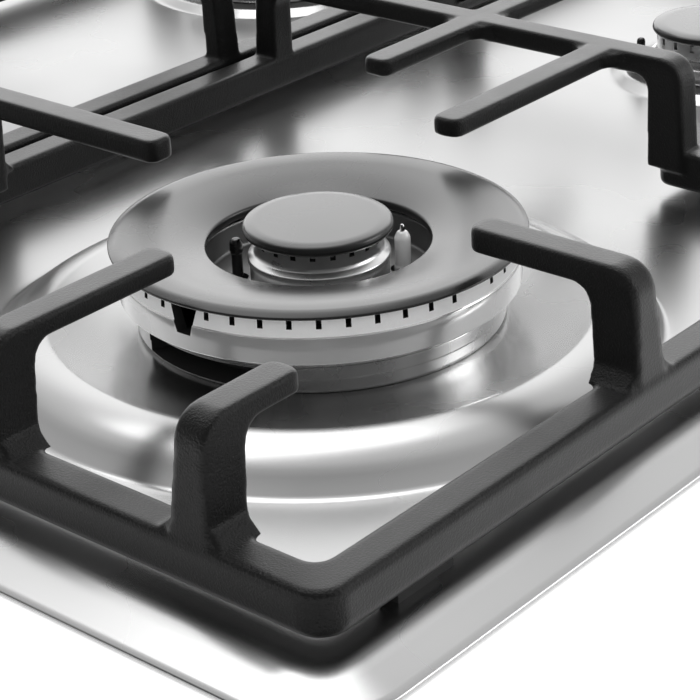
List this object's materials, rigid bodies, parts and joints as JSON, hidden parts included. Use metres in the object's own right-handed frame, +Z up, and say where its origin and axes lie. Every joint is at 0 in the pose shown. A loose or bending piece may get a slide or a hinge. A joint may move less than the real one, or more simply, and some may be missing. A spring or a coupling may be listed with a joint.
{
  "type": "built-in gas cooktop",
  "caption": "Built-in gas cooktop: pressed steel top with raised burner bosses, cast pan supports, double-ring burner, small burners and push-and-turn knobs.",
  "frame": {"origin": "under the middle of the tray's flat bottom", "axes": "+Z up, +X to the right along the width, -Y towards the user at the front"},
  "size_m": [0.59, 0.51, 0.0982],
  "materials": {
    "stainless_top": "brushed stainless sheet, light rolled edge",
    "tray_steel": "galvanised pressed steel, dull",
    "seal_foam": "black closed-cell foam strip",
    "zinc_steel": "zinc plated steel",
    "cast_iron": "matt black enamelled cast iron, fine grain",
    "grate_rubber": "black heat-proof rubber",
    "burner_alloy": "cast and polished aluminium",
    "cap_enamel": "satin black enamel on steel",
    "ceramic": "white glazed ceramic",
    "electrode": "bare steel wire",
    "brass": "machined brass",
    "gas_pipe": "drawn aluminium tube",
    "knob_plastic": "satin black heat-proof plastic",
    "bezel_metal": "satin metal ring",
    "black_plastic": "black moulded plastic",
    "spring_steel": "oiled spring steel"
  },
  "bodies": {
    "hob": {"hob_panel": "stainless_top", "bottom_tray": "tray_steel", "rim_seal": "seal_foam", "worktop_clamps": "zinc_steel", "clamp_screws": "zinc_steel", "tray_screws": "zinc_steel", "wok_base": "burner_alloy", "rear_left_base": "burner_alloy", "rear_right_base": "burner_alloy", "front_right_base": "burner_alloy", "spark_ceramics": "ceramic", "spark_electrodes": "electrode", "thermocouples": "electrode", "injectors": "brass", "gas_rail": "zinc_steel", "gas_inlet": "brass", "gas_taps": "brass", "burner_pipes": "gas_pipe", "ignition_switches": "black_plastic", "ignition_box": "black_plastic", "mains_gland": "black_plastic", "knob_bezels": "bezel_metal", "return_spring_1": "spring_steel", "return_spring_2": "spring_steel", "return_spring_3": "spring_steel", "return_spring_4": "spring_steel"},
    "front_support": {"front_grate": "cast_iron", "front_grate_arms": "cast_iron", "front_grate_feet": "grate_rubber"},
    "rear_support": {"rear_grate": "cast_iron", "rear_grate_feet": "grate_rubber"},
    "wok_crown": {"wok_crown": "burner_alloy"},
    "wok_ring_cap": {"wok_ring_cap": "cap_enamel"},
    "wok_inner_head": {"wok_inner_head": "burner_alloy"},
    "wok_inner_cap": {"wok_inner_cap": "cap_enamel"},
    "rear_left_head": {"rear_left_head": "burner_alloy"},
    "rear_left_cap": {"rear_left_cap": "cap_enamel"},
    "rear_right_head": {"rear_right_head": "burner_alloy"},
    "rear_right_cap": {"rear_right_cap": "cap_enamel"},
    "front_right_head": {"front_right_head": "burner_alloy"},
    "front_right_cap": {"front_right_cap": "cap_enamel"},
    "knob_1_stem_collar": {"spring_collar_1": "brass"},
    "knob_1": {"knob_1": "knob_plastic", "spindle_1": "brass"},
    "knob_2_stem_collar": {"spring_collar_2": "brass"},
    "knob_2": {"knob_2": "knob_plastic", "spindle_2": "brass"},
    "knob_3_stem_collar": {"spring_collar_3": "brass"},
    "knob_3": {"knob_3": "knob_plastic", "spindle_3": "brass"},
    "knob_4_stem_collar": {"spring_collar_4": "brass"},
    "knob_4": {"knob_4": "knob_plastic", "spindle_4": "brass"}
  },
  "joints": [
    {"name": "front_support_lift", "type": "slide", "parent": "hob", "child": "front_support", "axis": [0, 0, 1], "range_m": [0, 0.1]},
    {"name": "rear_support_lift", "type": "slide", "parent": "hob", "child": "rear_support", "axis": [0, 0, 1], "range_m": [0, 0.1]},
    {"name": "wok_crown_lift", "type": "slide", "parent": "hob", "child": "wok_crown", "axis": [0, 0, 1], "range_m": [0, 0.003]},
    {"name": "wok_ring_cap_lift", "type": "slide", "parent": "wok_crown", "child": "wok_ring_cap", "axis": [0, 0, 1], "range_m": [0, 0.003]},
    {"name": "wok_inner_head_lift", "type": "slide", "parent": "wok_crown", "child": "wok_inner_head", "axis": [0, 0, 1], "range_m": [0, 0.01]},
    {"name": "wok_inner_cap_lift", "type": "slide", "parent": "wok_inner_head", "child": "wok_inner_cap", "axis": [0, 0, 1], "range_m": [0, 0.02]},
    {"name": "rear_left_head_lift", "type": "slide", "parent": "hob", "child": "rear_left_head", "axis": [0, 0, 1], "range_m": [0, 0.02]},
    {"name": "rear_left_cap_lift", "type": "slide", "parent": "rear_left_head", "child": "rear_left_cap", "axis": [0, 0, 1], "range_m": [0, 0.02]},
    {"name": "rear_right_head_lift", "type": "slide", "parent": "hob", "child": "rear_right_head", "axis": [0, 0, 1], "range_m": [0, 0.02]},
    {"name": "rear_right_cap_lift", "type": "slide", "parent": "rear_right_head", "child": "rear_right_cap", "axis": [0, 0, 1], "range_m": [0, 0.02]},
    {"name": "front_right_head_lift", "type": "slide", "parent": "hob", "child": "front_right_head", "axis": [0, 0, 1], "range_m": [0, 0.02]},
    {"name": "front_right_cap_lift", "type": "slide", "parent": "front_right_head", "child": "front_right_cap", "axis": [0, 0, 1], "range_m": [0, 0.02]},
    {"name": "knob_1_push", "type": "slide", "parent": "hob", "child": "knob_1_stem_collar", "axis": [0, 0, -1], "range_m": [0, 0.003], "stiffness_N_per_m": 600, "springref_m": -0.003, "deforming": ["return_spring_1"]},
    {"name": "knob_1_turn", "type": "hinge", "parent": "knob_1_stem_collar", "child": "knob_1", "pos_m": [0.072, -0.203, 0.06], "axis": [0, 0, 1], "range_deg": [0, 210]},
    {"name": "knob_2_push", "type": "slide", "parent": "hob", "child": "knob_2_stem_collar", "axis": [0, 0, -1], "range_m": [0, 0.003], "stiffness_N_per_m": 600, "springref_m": -0.003, "deforming": ["return_spring_2"]},
    {"name": "knob_2_turn", "type": "hinge", "parent": "knob_2_stem_collar", "child": "knob_2", "pos_m": [0.13, -0.203, 0.06], "axis": [0, 0, 1], "range_deg": [0, 210]},
    {"name": "knob_3_push", "type": "slide", "parent": "hob", "child": "knob_3_stem_collar", "axis": [0, 0, -1], "range_m": [0, 0.003], "stiffness_N_per_m": 600, "springref_m": -0.003, "deforming": ["return_spring_3"]},
    {"name": "knob_3_turn", "type": "hinge", "parent": "knob_3_stem_collar", "child": "knob_3", "pos_m": [0.188, -0.203, 0.06], "axis": [0, 0, 1], "range_deg": [0, 210]},
    {"name": "knob_4_push", "type": "slide", "parent": "hob", "child": "knob_4_stem_collar", "axis": [0, 0, -1], "range_m": [0, 0.003], "stiffness_N_per_m": 600, "springref_m": -0.003, "deforming": ["return_spring_4"]},
    {"name": "knob_4_turn", "type": "hinge", "parent": "knob_4_stem_collar", "child": "knob_4", "pos_m": [0.246, -0.203, 0.06], "axis": [0, 0, 1], "range_deg": [0, 210]}
  ]
}
